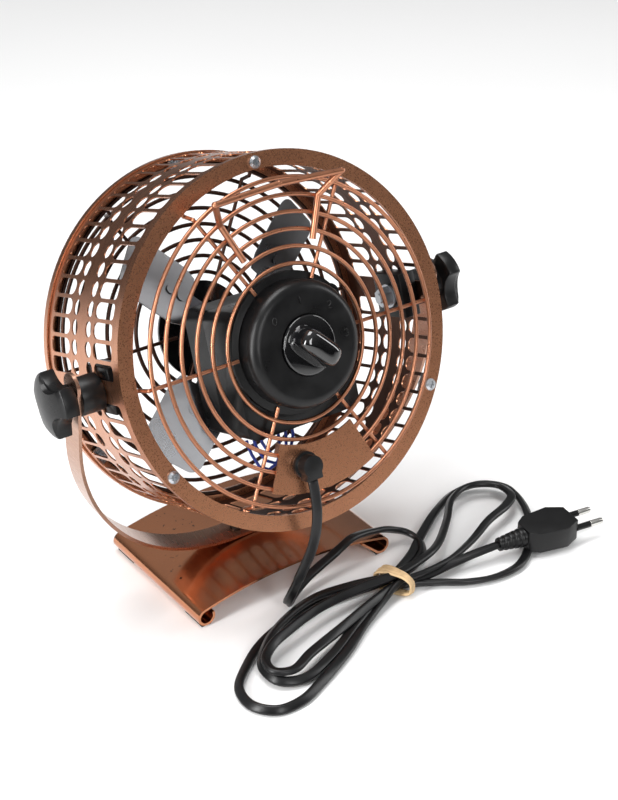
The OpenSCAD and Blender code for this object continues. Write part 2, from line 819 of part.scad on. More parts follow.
base_plate();
foot_pads();
yoke();
yoke_screws();
yoke_nuts();
drum_band();
front_ring();
rear_ring();
front_ring_screws();
rear_ring_screws();
front_clips();
rear_clips();
front_ring_nuts();
rear_ring_nuts();
front_grille();
front_badge();
rear_grille();
carry_handle();
cord_plate();
cord_gland();
gland_nut();
motor_front_shell();
motor_rear_shell();
case_screws();
motor_stator();
motor_coil();
front_bush();
rear_bush();
switch_body();
switch_cover();
internal_wires();
pivot_bosses();
pivot_blocks();
pivot_studs();
pivot_washers();
pivot_nuts();
motor_shaft();
motor_rotor();
fan_spider();
fan_blade_1();
fan_blade_2();
fan_blade_3();
fan_blade_4();
blade_rivets();
hub_nut();
speed_knob();
clamp_knob_left();
clamp_knob_right();
knob_insert_left();
knob_insert_right();
cord_lead();
cord_hank();
cord_tie();
plug_body();
plug_sleeves();
plug_pins();
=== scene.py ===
import json
import math

import bmesh
import bpy
from mathutils import Matrix, Vector
from mathutils.geometry import delaunay_2d_cdt


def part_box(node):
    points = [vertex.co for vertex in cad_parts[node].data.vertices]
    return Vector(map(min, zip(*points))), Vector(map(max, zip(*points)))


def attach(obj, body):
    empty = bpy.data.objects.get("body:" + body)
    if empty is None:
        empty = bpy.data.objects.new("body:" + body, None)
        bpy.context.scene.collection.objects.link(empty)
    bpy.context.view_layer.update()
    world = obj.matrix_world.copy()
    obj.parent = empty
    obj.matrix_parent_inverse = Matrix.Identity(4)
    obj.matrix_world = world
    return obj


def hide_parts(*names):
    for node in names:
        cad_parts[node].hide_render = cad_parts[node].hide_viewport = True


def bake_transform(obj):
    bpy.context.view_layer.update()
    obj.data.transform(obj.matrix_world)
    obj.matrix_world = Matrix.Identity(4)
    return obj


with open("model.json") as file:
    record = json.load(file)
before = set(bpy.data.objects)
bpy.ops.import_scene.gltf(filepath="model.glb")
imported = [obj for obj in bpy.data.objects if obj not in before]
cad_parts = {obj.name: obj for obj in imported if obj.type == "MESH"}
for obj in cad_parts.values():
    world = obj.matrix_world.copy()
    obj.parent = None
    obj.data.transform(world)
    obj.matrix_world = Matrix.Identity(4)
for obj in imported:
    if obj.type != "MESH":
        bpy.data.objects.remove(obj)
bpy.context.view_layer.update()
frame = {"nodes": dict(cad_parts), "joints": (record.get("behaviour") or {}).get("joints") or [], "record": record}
nodes = frame["nodes"]
joints = {j["name"]: j for j in frame["joints"]}

MM = 0.001
PIVOT_BACK = 14          # the pivots are this far behind the drum's middle, in millimetres
PIVOT = Vector(joints["head_tilt"]["pos_m"])
DRUM_MID = Vector(joints["fan_spin"]["pos_m"])
DRUM_AXIS = Vector(joints["fan_spin"]["axis"]).normalized()
TILT = math.atan2(DRUM_AXIS.z, DRUM_AXIS.y)
# The drum's own frame: Y is its axis, towards the back
HEAD = Matrix.Translation(DRUM_MID) @ Matrix.Rotation(TILT, 4, "X")


def at_angle(a):
    """Turns +X of the drum's frame outwards at an angle counted as seen from behind."""
    return Matrix.Rotation(math.radians(a + 180), 4, "Y")


# ---------------------------------------------------------------- camera
CAMERA_FROM_PIVOT = Vector((489.2, 741.5, 473.7)) * MM
CAMERA_TURN = math.radians(35.19)
CAMERA_RISE = math.radians(30.07)
CAMERA_LENS = 104.45


def make_camera():
    right = Vector((-math.cos(CAMERA_TURN), math.sin(CAMERA_TURN), 0))
    back = Vector((math.sin(CAMERA_TURN) * math.cos(CAMERA_RISE),
                   math.cos(CAMERA_TURN) * math.cos(CAMERA_RISE), math.sin(CAMERA_RISE)))
    up = back.cross(right)
    camera = bpy.data.objects.new("camera", bpy.data.cameras.new("camera"))
    bpy.context.scene.collection.objects.link(camera)
    place = Matrix((right, up, back)).transposed().to_4x4()
    place.translation = PIVOT + CAMERA_FROM_PIVOT
    camera.matrix_world = place
    camera.data.sensor_fit = "HORIZONTAL"
    camera.data.sensor_width = 36
    camera.data.lens = CAMERA_LENS
    camera.data.clip_start = 0.05
    camera.data.clip_end = 30
    bpy.context.scene.camera = camera


make_camera()


# ---------------------------------------------------------------- mesh helpers
def add_mesh(name, verts, faces):
    """A smooth-shaded object with its faces turned outwards."""
    mesh = bpy.data.meshes.new(name)
    mesh.from_pydata([tuple(v) for v in verts], [], faces)
    mesh.validate()
    obj = bpy.data.objects.new(name, mesh)
    bpy.context.scene.collection.objects.link(obj)
    b = bmesh.new()
    b.from_mesh(mesh)
    bmesh.ops.recalc_face_normals(b, faces=b.faces)
    b.to_mesh(mesh)
    b.free()
    for polygon in mesh.polygons:
        polygon.use_smooth = True
    return obj


def sharpen(obj, angle=35):
    """Smooth shading that keeps edges sharper than angle."""
    bpy.context.view_layer.objects.active = obj
    for o in bpy.context.selected_objects:
        o.select_set(False)
    obj.select_set(True)
    bpy.ops.object.shade_smooth_by_angle(angle=math.radians(angle))
    obj.select_set(False)
    return obj


def bevel(obj, width, segments=2, angle=35):
    """Rounds the edges sharper than angle, for good."""
    b = bmesh.new()
    b.from_mesh(obj.data)
    bmesh.ops.remove_doubles(b, verts=b.verts, dist=1e-6)
    bmesh.ops.dissolve_limit(b, angle_limit=math.radians(0.5), verts=b.verts, edges=b.edges)
    edges = [e for e in b.edges if len(e.link_faces) == 2
             and e.calc_face_angle(0) > math.radians(angle)]
    bmesh.ops.bevel(b, geom=edges, offset=width, segments=segments, profile=0.5,
                    affect="EDGES", clamp_overlap=True)
    b.to_mesh(obj.data)
    b.free()
    return sharpen(obj, 40)


def catmull(points, steps):
    """Points along a smooth curve through the given ones, evenly many between each two."""
    pts = [Vector(p) for p in points]
    pts = [2 * pts[0] - pts[1]] + pts + [2 * pts[-1] - pts[-2]]
    out = []
    for i in range(1, len(pts) - 2):
        p0, p1, p2, p3 = pts[i - 1:i + 3]
        t0, t1 = 0.0, max((p1 - p0).length, 1e-9) ** 0.5
        t2 = t1 + max((p2 - p1).length, 1e-9) ** 0.5
        t3 = t2 + max((p3 - p2).length, 1e-9) ** 0.5
        for s in range(steps):
            t = t1 + (t2 - t1) * s / steps
            a1 = p0 * (t1 - t) / (t1 - t0) + p1 * (t - t0) / (t1 - t0)
            a2 = p1 * (t2 - t) / (t2 - t1) + p2 * (t - t1) / (t2 - t1)
            a3 = p2 * (t3 - t) / (t3 - t2) + p3 * (t - t2) / (t3 - t2)
            b1 = a1 * (t2 - t) / (t2 - t0) + a2 * (t - t0) / (t2 - t0)
            b2 = a2 * (t3 - t) / (t3 - t1) + a3 * (t - t1) / (t3 - t1)
            out.append(b1 * (t2 - t) / (t2 - t1) + b2 * (t - t1) / (t2 - t1))
    out.append(pts[-2])
    return out


def even(points, step):
    """The same line with points a step apart."""
    out, left = [points[0].copy()], step
    for a, b in zip(points, points[1:]):
        length = (b - a).length
        while length >= left:
            a = a.lerp(b, left / length)
            out.append(a.copy())
            length = (b - a).length
            left = step
        left -= length
    if (out[-1] - points[-1]).length > step * 0.4:
        out.append(points[-1].copy())
    else:
        out[-1] = points[-1].copy()
    return out


def sweep(name, path, outline, wide=None, closed=False):
    """A section swept along a path.

    outline is in the plane (side, up), and wide gives the side direction at a place.
    """
    n, m = len(path), len(outline)
    verts, faces = [], []
    side = None
    for i, p in enumerate(path):
        a = path[(i - 1) % n] if closed else path[max(i - 1, 0)]
        b = path[(i + 1) % n] if closed else path[min(i + 1, n - 1)]
        way = (b - a).normalized()
        if wide is not None:
            side = Vector(wide(i))
        elif side is None:
            side = way.orthogonal()
        side = (side - way * side.dot(way)).normalized()
        up = side.cross(way)
        verts += [p + side * u + up * v for u, v in outline]
    for i in range(n if closed else n - 1):
        j = (i + 1) % n
        for k in range(m):
            l = (k + 1) % m
            faces.append((i * m + k, i * m + l, j * m + l, j * m + k))
    if not closed:
        faces += [tuple(range(m)), tuple(range((n - 1) * m, n * m))]
    return add_mesh(name, verts, faces)


def circle_outline(r, n):
    return [(r * math.cos(2 * math.pi * k / n), r * math.sin(2 * math.pi * k / n))
            for k in range(n)]


def lathe(name, profile, segments, place):
    """A profile of (radius, along) turned about Y, then placed. Radius 0 closes an end."""
    verts, faces, rows = [], [], []
    for r, y in profile:
        if r < 1e-7:
            rows.append([len(verts)])
            verts.append(Vector((0, y, 0)))
        else:
            rows.append(list(range(len(verts), len(verts) + segments)))
            for k in range(segments):
                a = 2 * math.pi * k / segments
                verts.append(Vector((r * math.cos(a), y, r * math.sin(a))))
    for a, b in zip(rows, rows[1:]):
        for k in range(segments):
            l = (k + 1) % segments
            if len(a) == 1 and len(b) == 1:
                continue
            if len(a) == 1:
                faces.append((a[0], b[l], b[k]))
            elif len(b) == 1:
                faces.append((a[k], a[l], b[0]))
            else:
                faces.append((a[k], a[l], b[l], b[k]))
    obj = add_mesh(name, [place @ v for v in verts], faces)
    return sharpen(obj, 50)


def copy_node(node):
    """A new object with a copy of a CAD piece's mesh, and that piece's material slot."""
    obj = bpy.data.objects.new("fine_" + node, nodes[node].data.copy())
    bpy.context.scene.collection.objects.link(obj)
    slot = next(p["material_slot"] for p in frame["record"]["subparts"] if p["node"] == node)
    return obj, slot


def finish_piece(obj, body, material, slot, *replaced):
    """Gives a piece its material and its body, and hides the CAD nodes it stands for; the slot is not used."""
    obj.data.materials.clear()
    obj.data.materials.append(material)
    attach(obj, body)
    if replaced:
        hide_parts(*replaced)
    return obj


# ---------------------------------------------------------------- materials
class Nodes:
    """Short names for building one material's nodes."""

    def __init__(self, name):
        self.material = bpy.data.materials.new(name)
        self.material.use_nodes = True
        self.tree = self.material.node_tree
        self.shader = self.tree.nodes["Principled BSDF"]

    def add(self, kind, **sockets):
        node = self.tree.nodes.new(kind)
        for key, value in sockets.items():
            key = key.replace("_", " ")
            if isinstance(value, bpy.types.NodeSocket):
                self.tree.links.new(value, node.inputs[key])
            else:
                node.inputs[key].default_value = value
        return node

    def link(self, out, socket):
        self.tree.links.new(out, socket)

    def coords(self, scale=(1, 1, 1), turn=(0, 0, 0), place=(0, 0, 0)):
        """Object coordinates, first turned about a place, then scaled."""
        where = self.tree.nodes.new("ShaderNodeTexCoord").outputs["Object"]
        spot = self.add("ShaderNodeMapping", Vector=where, Location=tuple(-c for c in place))
        spot.vector_type = "POINT"
        turned = self.add("ShaderNodeVectorRotate", Vector=spot.outputs[0])
        turned.rotation_type = "EULER_XYZ"
        turned.inputs["Rotation"].default_value = turn
        return self.add("ShaderNodeMapping", Vector=turned.outputs[0], Scale=scale).outputs[0]

    def noise(self, vector, scale, detail, rough):
        node = self.add("ShaderNodeTexNoise", Vector=vector, Scale=scale, Detail=detail,
                        Roughness=rough)
        return node.outputs["Fac"]

    def ramp(self, fac, stops):
        node = self.tree.nodes.new("ShaderNodeValToRGB")
        ramp = node.color_ramp
        while len(ramp.elements) < len(stops):
            ramp.elements.new(0.5)
        for element, (at, colour) in zip(ramp.elements, stops):
            element.position = at
            element.color = (*colour, 1) if len(colour) == 3 else colour
        self.link(fac, node.inputs["Fac"])
        return node.outputs["Color"]

    def mapped(self, fac, low, high, start=0.0, end=1.0):
        node = self.add("ShaderNodeMapRange", Value=fac)
        node.inputs["From Min"].default_value = start
        node.inputs["From Max"].default_value = end
        node.inputs["To Min"].default_value = low
        node.inputs["To Max"].default_value = high
        return node.outputs["Result"]

    def mix(self, fac, a, b, blend="MIX"):
        node = self.tree.nodes.new("ShaderNodeMix")
        node.data_type = "RGBA"
        node.blend_type = blend
        for socket, value in ((node.inputs[0], fac), (node.inputs[6], a), (node.inputs[7], b)):
            if isinstance(value, bpy.types.NodeSocket):
                self.link(value, socket)
            elif isinstance(value, (int, float)):
                socket.default_value = value
            else:
                socket.default_value = (*value, 1)
        return node.outputs[2]

    def math(self, operation, a, b):
        node = self.tree.nodes.new("ShaderNodeMath")
        node.operation = operation
        for socket, value in ((node.inputs[0], a), (node.inputs[1], b)):
            if isinstance(value, bpy.types.NodeSocket):
                self.link(value, socket)
            else:
                socket.default_value = value
        return node.outputs[0]

    def bump(self, height, strength, distance):
        node = self.add("ShaderNodeBump", Strength=strength, Distance=distance, Height=height)
        self.link(node.outputs["Normal"], self.shader.inputs["Normal"])

    def set(self, **values):
        for key, value in values.items():
            socket = self.shader.inputs[key.replace("_", " ")]
            if isinstance(value, bpy.types.NodeSocket):
                self.link(value, socket)
            elif isinstance(value, tuple) and len(value) == 3 and socket.type == "RGBA":
                socket.default_value = (*value, 1)
            else:
                socket.default_value = value
        return self.material


def copper(name, light, dark, brush, turn=(0, 0, 0), rough=(0.24, 0.36), blotch=0.5, coat=0.3,
           specks=0.0, lined=0.28):
    """Brushed copper-coloured sheet under clear lacquer.

    brush is the noise's scale along X, Y and Z.
    """
    n = Nodes(name)
    lines = n.noise(n.coords(brush, turn, tuple(DRUM_MID)), 1.0, 3, 0.6)
    cloud = n.noise(n.coords((1, 1, 1)), 12, 3, 0.55)
    tone = n.mix(n.mapped(cloud, 0.0, blotch, 0.35, 0.68), light, dark)
    colour = n.mix(n.mapped(lines, 0.0, lined, 0.35, 0.7), tone, tuple(c * 0.5 for c in light))
    if specks:
        dots = n.noise(n.coords((1, 1, 1)), 420, 2, 0.5)
        worn = n.noise(n.coords((1, 1, 1)), 30, 2, 0.5)
        mask = n.math("MULTIPLY", n.mapped(dots, 0, 1, 0.66, 0.72),
                      n.mapped(worn, 0, specks, 0.58, 0.66))
        colour = n.mix(mask, colour, (0.03, 0.016, 0.011))
    n.bump(lines, 0.08, 0.0001)
    return n.set(Base_Color=colour, Metallic=1.0,
                 Roughness=n.mapped(lines, rough[0], rough[1], 0.3, 0.7),
                 Coat_Weight=coat, Coat_Roughness=0.1)


def plain(name, colour, metallic=0.0, rough=(0.35, 0.5), grain=900, bump=0.1, vary=0.15,
          coat=0.0, **more):
    """Moulded or cast surface with a fine grain and slight variation."""
    n = Nodes(name)
    fine = n.noise(n.coords(), grain, 3, 0.6)
    wide = n.noise(n.coords(), grain * 0.06, 3, 0.6)
    dark = tuple(c * (1 - vary) for c in colour)
    light = tuple(min(1, c * (1 + vary)) for c in colour)
    n.bump(fine, bump, 0.0002)
    return n.set(Base_Color=n.mix(n.mapped(wide, 0, 1, 0.3, 0.7), dark, light),
                 Metallic=metallic, Roughness=n.mapped(wide, rough[0], rough[1], 0.3, 0.7),
                 Coat_Weight=coat, **more)


COPPER = (0.60, 0.27, 0.145)
COPPER_DARK = (0.33, 0.135, 0.08)
DRUM_TURN = (-TILT, 0, 0)
EVEN_BRUSH = (250, 250, 250)
mats = {
    "copper_drum": copper("copper_drum", COPPER, COPPER_DARK, (60, 1800, 60), DRUM_TURN),
    # Painted shade: a darkened copy of the drum's copper, standing in for the shade inside the drum
    "copper_inside": copper("copper_inside", (0.11, 0.055, 0.038), (0.045, 0.024, 0.018),
                            (60, 1800, 60), DRUM_TURN, rough=(0.4, 0.6), coat=0.0),
    "copper_ring": copper("copper_ring", COPPER, COPPER_DARK, (1500, 1500, 1500), DRUM_TURN,
                          blotch=0.3, lined=0.16),
    "copper_base": copper("copper_base", (0.68, 0.27, 0.12), (0.45, 0.165, 0.075),
                          (50, 2600, 900), rough=(0.18, 0.26), specks=1.0, coat=0.8, lined=0.2,
                          blotch=0.4),
    "copper_yoke": copper("copper_yoke", (0.46, 0.265, 0.185), (0.30, 0.165, 0.12),
                          (1500, 80, 1500)),
    "copper_wire": copper("copper_wire", (0.50, 0.215, 0.12), (0.22, 0.095, 0.055), EVEN_BRUSH,
                          specks=0.7, rough=(0.26, 0.4), coat=0.15),
    # Painted shade: a near-black copy of the wire copper, for wires seen in shadow through the drum
    "dark_wire": copper("dark_wire", (0.07, 0.034, 0.024), (0.022, 0.012, 0.009), EVEN_BRUSH,
                        rough=(0.35, 0.5), coat=0.1),
    "black_plastic": plain("black_plastic", (0.0040, 0.0040, 0.0043), rough=(0.26, 0.42), vary=0.3,
                           Specular_IOR_Level=0.3),
    "black_gloss": plain("black_gloss", (0.0025, 0.0025, 0.003), rough=(0.05, 0.12), bump=0.0,
                         coat=0.8),
    "rubber": plain("rubber", (0.012, 0.011, 0.010), rough=(0.7, 0.9), bump=0.3),
    "zinc": plain("zinc", (0.50, 0.52, 0.55), 1.0, (0.22, 0.4), 500, 0.1),
    "bright_steel": plain("bright_steel", (0.66, 0.65, 0.62), 1.0, (0.12, 0.25), 500, 0.05),
    "dark_steel": plain("dark_steel", (0.06, 0.045, 0.038), 1.0, (0.3, 0.5), 500, 0.1),
    "lamination": plain("lamination", (0.10, 0.10, 0.11), 1.0, (0.35, 0.55), 300, 0.2),
    "winding": plain("winding", (0.35, 0.09, 0.035), 1.0, (0.2, 0.35), 1500, 0.5),
    "bronze": plain("bronze", (0.50, 0.33, 0.14), 1.0, (0.3, 0.45), 500, 0.1),
    "lead_wire": plain("lead_wire", (0.012, 0.030, 0.22), rough=(0.3, 0.45)),
    "blade": plain("blade", (0.15, 0.152, 0.158), 1.0, (0.22, 0.36), 260, 0.15, 0.3),
    "cord_black": plain("cord_black", (0.0045, 0.0045, 0.005), rough=(0.28, 0.42), grain=700,
                        vary=0.4, Specular_IOR_Level=0.35),
    "tie_fabric": plain("tie_fabric", (0.60, 0.42, 0.23), rough=(0.6, 0.8), grain=1200, bump=0.5,
                        vary=0.3),
}

for part in frame["record"]["subparts"]:
    node = nodes[part["node"]]
    node.data.materials.clear()
    node.data.materials.append(mats[part["material_slot"]])
# The front grille's copper wires look nearly black through the drum, so they get the near-black copper: painted
# shade
nodes["front_grille"].data.materials.clear()
nodes["front_grille"].data.materials.append(mats["dark_wire"])


# ---------------------------------------------------------------- pieces in finer form
def pivot_place(sign):
    """A frame on the pivots' axis, its Z pointing outwards along the drum's X."""
    side = Matrix.Rotation(math.radians(90 * sign), 4, "Y")
    return HEAD @ Matrix.Translation((0, PIVOT_BACK * MM, 0)) @ side


def loft(name, rings, place):
    """Joins rings of points, each a list of the same length, in a placed frame. Ends are closed."""
    m = len(rings[0])
    verts = [place @ Vector(p) for ring in rings for p in ring]
    faces = []
    for i in range(len(rings) - 1):
        for k in range(m):
            l = (k + 1) % m
            faces.append((i * m + k, i * m + l, (i + 1) * m + l, (i + 1) * m + k))
    faces.append(tuple(range(m)))
    faces.append(tuple(range((len(rings) - 1) * m, len(rings) * m)))
    return sharpen(add_mesh(name, verts, faces), 42)


def soft_min(a, b, n=14):
    """The smaller of a and b, with the corner between them rounded."""
    return (a ** -n + b ** -n) ** (-1 / n)


def lobed_radius(angle, outer=18.5, cut_at=25.0, cut_r=14.0):
    """Radius of the three-lobed outline, in millimetres, at an angle from a valley."""
    d = (angle + math.pi / 3) % (2 * math.pi / 3) - math.pi / 3
    if abs(cut_at * math.sin(d)) >= cut_r * 0.999:
        return outer
    reach = cut_at * math.cos(d) - math.sqrt(cut_r ** 2 - (cut_at * math.sin(d)) ** 2)
    return soft_min(outer, reach)


KNOB_START = 120.4       # the clamp knobs' inner ends, from the drum's middle
KNOB_VALLEY = {1: 159, -1: -11}
DOME_R, DOME_DOWN = 46, 42.1


def make_clamp_knob(sign, node, body):
    steps = 192
    valley = math.radians(KNOB_VALLEY[sign])

    def round_ring(r, z):
        return [(r, z)] * steps

    def lobed_ring(shrink, z, dome=None):
        out = []
        for k in range(steps):
            r = lobed_radius(2 * math.pi * k / steps - valley) - shrink
            if dome is None:
                out.append((r, z))
            else:
                r *= dome
                out.append((r, z + math.sqrt(DOME_R ** 2 - r * r) - DOME_DOWN))
        return out

    rings = [round_ring(5.05, 9.2), round_ring(5.05, 0.0), round_ring(8.1, 0.0),
             round_ring(8.6, 0.5), round_ring(8.6, 3.3), round_ring(8.9, 3.6),
             lobed_ring(1.2, 3.6), lobed_ring(0.45, 3.75), lobed_ring(0.0, 4.3),
             lobed_ring(0.0, 11.0), lobed_ring(0.15, 11.55), lobed_ring(0.55, 11.95),
             lobed_ring(1.15, 12.2)]
    rings += [lobed_ring(1.15, 12.05, t) for t in (0.93, 0.85, 0.72, 0.55, 0.36, 0.18, 0.04)]
    around = [2 * math.pi * k / steps for k in range(steps)]
    obj = loft("fine_" + node,
               [[(r * math.cos(a) * MM, r * math.sin(a) * MM, (KNOB_START + z) * MM)
                 for a, (r, z) in zip(around, ring)] for ring in rings], pivot_place(sign))
    finish_piece(obj, body, mats["black_plastic"], "black_plastic", node)


def make_speed_knob():
    """A round disc with a narrow grip across it, which is cut flat on two sides."""
    steps = 160
    turn = HEAD @ at_angle(135) @ Matrix.Rotation(math.radians(-90), 4, "X")
    base, grip_shift = 62.8, -1.5

    def ring(r, z, half=None):
        shift = 0 if half is None else grip_shift
        out = []
        for k in range(steps):
            a = 2 * math.pi * k / steps
            q = r
            if half is not None:
                q = soft_min(r, half / max(abs(math.sin(a)), 1e-3), 5)
            out.append(((q * math.cos(a) + shift) * MM, q * math.sin(a) * MM, (base + z) * MM))
        return out

    disc = [ring(15.9, 0), ring(16.5, 0.6), ring(16.5, 2.4), ring(16.2, 2.9), ring(15.6, 3.1)]
    grip = [ring(14.6, 3.2, 8.6), ring(14.2, 3.9, 8.2), ring(13.9, 6.0, 7.7),
            ring(13.6, 9.0, 7.2), ring(13.2, 11.5, 6.8), ring(12.6, 13.2, 6.3),
            ring(11.7, 14.5, 5.6), ring(10.4, 15.4, 4.6), ring(8.6, 15.9, 3.4),
            ring(6.0, 16.15, 2.2), ring(2.5, 16.2, 0.9)]
    obj = loft("fine_speed_knob", disc + grip, turn)
    finish_piece(obj, "speed_dial", mats["black_gloss"], "black_gloss", "speed_knob")


BAND_EDGE = 44           # half the band's width
SLOT_END = 36
SLOT_CORNER = 2.4


def hole_outlines():
    """The four holes of one row of the band, as (round the drum, along it) in millimetres."""
    half = 4.4
    out = []
    for s in (-1, 1):
        loop = [(half * math.cos(a), s * (18.4 - half * math.sin(a)))
                for a in (math.pi * k / 12 for k in range(13))]
        r = SLOT_CORNER
        for cx, first in ((-half + r, 180), (half - r, 90)):
            for k in range(5):
                a = math.radians(first - 22.5 * k)
                loop.append((cx + r * math.cos(a), s * (SLOT_END - r + r * math.sin(a))))
        out.append(loop)
        out.append([(half * math.cos(a), s * 8.2 + 3.6 * math.sin(a))
                    for a in (2 * math.pi * k / 20 for k in range(20))])
    return out


def inside(point, loop):
    """Whether a point is inside a closed loop, both flat."""
    x, y = point
    hit = False
    for (x0, y0), (x1, y1) in zip(loop, loop[1:] + loop[:1]):
        if (y0 > y) != (y1 > y) and x < (x1 - x0) * (y - y0) / (y1 - y0) + x0:
            hit = not hit
    return hit


def make_band():
    """The perforated band, with rounded holes and a darker copper on the inside faces as painted shade."""
    rows, radius, thick = 60, 103.9, 0.8
    pitch = 2 * math.pi / rows
    half = radius * pitch / 2
    edge = [-BAND_EDGE, -SLOT_END, -33.6, -24, -18.4, -8.2, 0, 8.2, 18.4, 24, 33.6, SLOT_END,
            BAND_EDGE]
    border = ([(-half, y) for y in edge] + [(0, BAND_EDGE)]
              + [(half, y) for y in reversed(edge)] + [(0, -BAND_EDGE)])

    def cell(holes):
        points, n = list(border), len(border)
        edges = [(i, (i + 1) % n) for i in range(n)]
        for loop in holes:
            first = len(points)
            points += loop
            edges += [(first + i, first + (i + 1) % len(loop)) for i in range(len(loop))]
        verts, _, faces = delaunay_2d_cdt([Vector(p) for p in points], edges, [], 0, 1e-5)[:3]
        keep = []
        for face in faces:
            mid = sum((verts[i] for i in face), Vector((0, 0))) / len(face)
            if not any(inside(mid, loop) for loop in holes):
                keep.append(tuple(face))
        return verts, keep

    pivot_hole = [(x, PIVOT_BACK + y) for x, y in circle_outline(3.0, 24)]
    kinds = {"holes": cell(hole_outlines()), "pivot": cell([pivot_hole])}
    outer, inner, faces = [], [], []
    for row in range(rows):
        verts, keep = kinds["pivot" if row in (0, rows // 2) else "holes"]
        first = len(outer)
        for u, y in verts:
            a = row * pitch + u / radius
            way = Vector((math.cos(a), 0, math.sin(a)))
            outer.append(HEAD @ ((way * radius + Vector((0, y, 0))) * MM))
            inner.append(HEAD @ ((way * (radius - thick) + Vector((0, y, 0))) * MM))
        faces += [tuple(first + i for i in face) for face in keep]
    n = len(outer)
    b = bmesh.new()
    made = [b.verts.new(v) for v in outer + inner]
    for face in faces:
        b.faces.new([made[i] for i in face])
        b.faces.new([made[i + n] for i in reversed(face)])
    # An edge that only one face has is an edge of a hole or of the band, and gets a wall
    count = {}
    for face in faces:
        for i, j in zip(face, face[1:] + face[:1]):
            ends = (tuple(round(c, 7) for c in outer[e]) for e in (i, j))
            key = tuple(sorted(ends))
            count.setdefault(key, []).append((i, j))
    for found in count.values():
        if len(found) == 1:
            i, j = found[0]
            b.faces.new((made[i], made[i + n], made[j + n], made[j]))
    bmesh.ops.remove_doubles(b, verts=b.verts, dist=2e-6)
    bmesh.ops.recalc_face_normals(b, faces=b.faces)
    mesh = bpy.data.meshes.new("fine_band")
    b.to_mesh(mesh)
    b.free()
    obj = bpy.data.objects.new("fine_band", mesh)
    bpy.context.scene.collection.objects.link(obj)
    for polygon in mesh.polygons:
        polygon.use_smooth = True
    sharpen(obj, 40)
    finish_piece(obj, "head", mats["copper_drum"], "copper_drum", "drum_band")
    # The inside faces get the darkened copper: painted shade inside the drum
    mesh.materials.append(mats["copper_inside"])
    back = HEAD.inverted()
    for polygon in mesh.polygons:
        c = back @ polygon.center
        if math.hypot(c.x, c.z) < (radius - thick * 0.9) * MM:
            polygon.material_index = 1


DIAL_R, DIAL_BACK = 25.2, 64.0


def make_numbers():
    """The raised figures 0 to 3 round the dial, drawn as strokes."""
    strokes = {
        0: [[(1.3 * math.cos(a), 1.9 * math.sin(a))
             for a in (2 * math.pi * k / 20 for k in range(21))]],
        1: [[(-0.9, 1.0), (0.1, 2.0), (0.1, -2.0)]],
        2: [[(-1.2, 1.2), (-0.7, 1.9), (0.5, 2.0), (1.1, 1.2), (0.9, 0.3), (-1.2, -2.0),
             (1.3, -2.0)]],
        3: [[(-1.1, 1.5), (-0.3, 2.0), (0.8, 1.7), (1.0, 0.9), (0.1, 0.1), (1.1, -0.5),
             (1.1, -1.4), (0.2, -2.0), (-1.2, -1.6)]],
    }
    for number, at in ((0, 135), (1, 90), (2, 45), (3, 0)):
        spot = at_angle(at) @ Vector((DIAL_R * MM, 0, 0))
        for points in strokes[number]:
            path = [HEAD @ (spot + Vector((-x, DIAL_BACK, y)) * MM) for x, y in points]
            obj = sweep("dial_%d" % number, path, circle_outline(0.32 * MM, 8))
            finish_piece(obj, "head", mats["black_plastic"], "black_plastic")


def soften(node, body, width):
    """A copy of a CAD piece with its sharp edges rounded."""
    obj, slot = copy_node(node)
    bevel(obj, width, 2, 38)
    finish_piece(obj, body, mats[slot], slot, node)


make_clamp_knob(1, "clamp_knob_left", "left_clamp")
make_clamp_knob(-1, "clamp_knob_right", "right_clamp")
make_speed_knob()
make_band()
make_numbers()


def flat_place(x, y, z, turn):
    """A frame that stands at a place in millimetres and is turned about Z, in degrees."""
    return Matrix.Translation(Vector((x, y, z)) * MM) @ Matrix.Rotation(math.radians(turn), 4, "Z")


# The plug lies higher and nearer the fan than in CAD, where the photo shows it
CAD_PLUG = flat_place(-146, 89, 8, 151)
PLUG = flat_place(-133.8, 93.5, 10.9, 172)


def make_plug():
    """The CAD plug with rounded edges at its new place, and a ribbed sleeve for the cord."""
    parts = []
    for node, width in (("plug_body", 0.9), ("plug_sleeves", 0.0), ("plug_pins", 0.5)):
        obj, slot = copy_node(node)
        obj.data.transform(PLUG @ CAD_PLUG.inverted())
        if width:
            bevel(obj, width * MM, 3, 38)
        else:
            sharpen(obj, 40)
        parts.append(finish_piece(obj, "base", mats[slot], slot, node))
    first, pitch, ribs_count = -17.9, 3.5, 5
    profile = [(0.0, first)]
    for k in range(ribs_count):
        x = first + pitch * k
        r = 3.5 + 0.122 * (x + 18)
        profile += [(r + 0.1, x), (r + 0.6, x + 0.35), (r + 0.75, x + 1.9), (r + 0.35, x + 2.3)]
        if k < ribs_count - 1:
            profile += [(r - 0.1, x + 2.4), (r, x + 3.3)]
    profile.append((0.0, -1.6))
    ribs = lathe("plug_ribs", [(r * MM, y * MM) for r, y in profile], 48,
                 PLUG @ Matrix.Rotation(math.radians(-90), 4, "Z"))
    parts.append(finish_piece(ribs, "base", mats["black_plastic"], "black_plastic"))
    return parts


plug_parts = make_plug()
for node, body, width in (("cord_gland", "head", 0.5), ("pivot_blocks", "head", 0.5),
                          ("pivot_bosses", "head", 0.5), ("motor_rear_shell", "head", 0.6)):
    soften(node, body, width * MM)


# ---------------------------------------------------------------- the cord
CORD_WIDE = 5.8 * MM
CORD_HIGH = 3.8 * MM
LOWEST = 2.75 * MM       # of the cord's middle, so that it stays on the floor when rolled

# The route in millimetres: down from the gland and over the base's corner
LEAD = [(11.6, 78.3, 97.7), (11.8, 81.6, 88), (12.5, 84, 78), (13.5, 84, 66), (14.5, 81.5, 54),
        (16, 77, 41), (17.5, 72.5, 29), (18.5, 67.5, 17), (17.5, 62, 7.5), (13.5, 57.5, 3.6),
        (7, 53.5, 4.6), (-3, 50.5, 8.5), (-14, 49.6, 13), (-24, 49.4, 17.2), (-31, 49, 20.2),
        (-38, 47.4, 21.6), (-48, 45.3, 20), (-58, 43.7, 17.2), (-67, 42, 14), (-75.5, 41.5, 10),
        (-82.5, 44.5, 7.4)]
